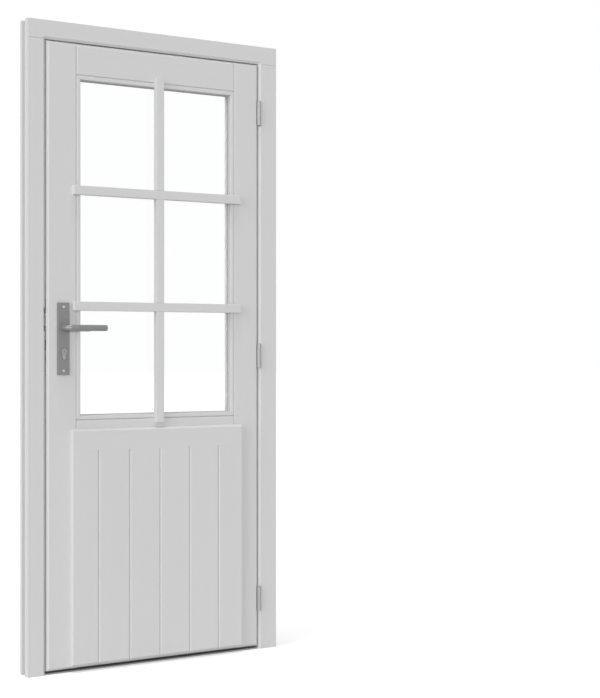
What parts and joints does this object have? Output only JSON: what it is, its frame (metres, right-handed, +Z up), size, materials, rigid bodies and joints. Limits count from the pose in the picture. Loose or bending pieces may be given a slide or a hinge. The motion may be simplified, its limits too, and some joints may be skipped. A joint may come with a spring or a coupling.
{
  "type": "glazed stable-style door with frame",
  "caption": "Half-glazed timber door in its frame: planted bars over the glass, a boarded lower panel, lever handle, lock and butt hinges, grooved to take wall boards.",
  "frame": {"origin": "middle of the frame's underside, at half the frame's width and half its depth", "axes": "+Z up, +X across the door from the lock side to the hinge side, +Y from the front (the side the leaf opens to) to the back"},
  "size_m": [0.87, 0.145, 1.98],
  "materials": {
    "frame_timber": "pale satin paint",
    "leaf_timber": "pale satin paint",
    "clear_glass": "clear",
    "handle_metal": "satin grey",
    "steel": "zinc plated",
    "cylinder_metal": "nickel plated",
    "threshold_metal": "dark anodised",
    "seal_rubber": "matt"
  },
  "bodies": {
    "frame": {"frame_head": "frame_timber", "frame_post_hinge": "frame_timber", "frame_post_lock": "frame_timber", "frame_screws": "steel", "frame_seal": "seal_rubber", "hinge_frame_leaf_bottom": "steel", "hinge_frame_leaf_middle": "steel", "hinge_frame_leaf_top": "steel", "hinge_pins": "steel", "hinge_screws_frame": "steel", "keep_plate": "steel", "keep_screws": "steel", "threshold": "threshold_metal", "threshold_screws": "steel"},
    "leaf": {"backplate_inner": "handle_metal", "backplate_outer": "handle_metal", "bar_lower": "leaf_timber", "bar_upper": "leaf_timber", "bar_vertical": "leaf_timber", "bead_bottom": "leaf_timber", "bead_left": "leaf_timber", "bead_right": "leaf_timber", "bead_top": "leaf_timber", "cylinder_body": "cylinder_metal", "cylinder_screw": "steel", "forend_screws": "steel", "glass_pane": "clear_glass", "hinge_door_leaf_bottom": "steel", "hinge_door_leaf_middle": "steel", "hinge_door_leaf_top": "steel", "hinge_screws_door": "steel", "latch_spring": "steel", "lock_case": "steel", "lock_cover": "steel", "lock_forend": "steel", "panel_back": "leaf_timber", "panel_board_1": "leaf_timber", "panel_board_2": "leaf_timber", "panel_board_3": "leaf_timber", "panel_board_4": "leaf_timber", "panel_board_5": "leaf_timber", "panel_board_6": "leaf_timber", "panel_rail": "leaf_timber", "plate_screws_inner": "steel", "plate_screws_outer": "steel", "rail_bottom": "leaf_timber", "rail_mid": "leaf_timber", "rail_top": "leaf_timber", "stile_hinge": "leaf_timber", "stile_lock": "leaf_timber"},
    "handle": {"lever_outer": "handle_metal", "lever_inner": "handle_metal", "handle_spindle": "steel", "lock_follower": "steel", "lever_set_screws": "steel"},
    "latch": {"latch_bolt": "steel"},
    "bolt": {"dead_bolt": "steel"},
    "rotor": {"cylinder_plug_outer": "cylinder_metal", "cylinder_plug_inner": "cylinder_metal", "cylinder_cam": "cylinder_metal"}
  },
  "joints": [
    {"name": "door_swing", "type": "hinge", "parent": "frame", "child": "leaf", "pos_m": [0.3675, -0.034, 0], "axis": [0, 0, 1], "range_deg": [0, 110]},
    {"name": "handle_turn", "type": "hinge", "parent": "leaf", "child": "handle", "pos_m": [-0.323, 0, 1.05], "axis": [0, 1, 0], "range_deg": [0, 40], "stiffness_Nm_per_rad": 0.8, "springref_deg": -28.65, "deforming": ["latch_spring"]},
    {"name": "latch_slide", "type": "slide", "parent": "leaf", "child": "latch", "axis": [1, 0, 0], "range_m": [0, 0.009]},
    {"name": "key_turn", "type": "hinge", "parent": "leaf", "child": "rotor", "pos_m": [-0.323, 0, 0.978], "axis": [0, 1, 0], "range_deg": [0, 360]},
    {"name": "bolt_throw", "type": "slide", "parent": "leaf", "child": "bolt", "axis": [-1, 0, 0], "range_m": [0, 0.02]}
  ],
  "couplings": [
    {"joint": "latch_slide", "follows": "handle_turn", "m_per_rad": 0.01289},
    {"joint": "key_turn", "follows": "bolt_throw", "rad_per_m": 314.15}
  ]
}
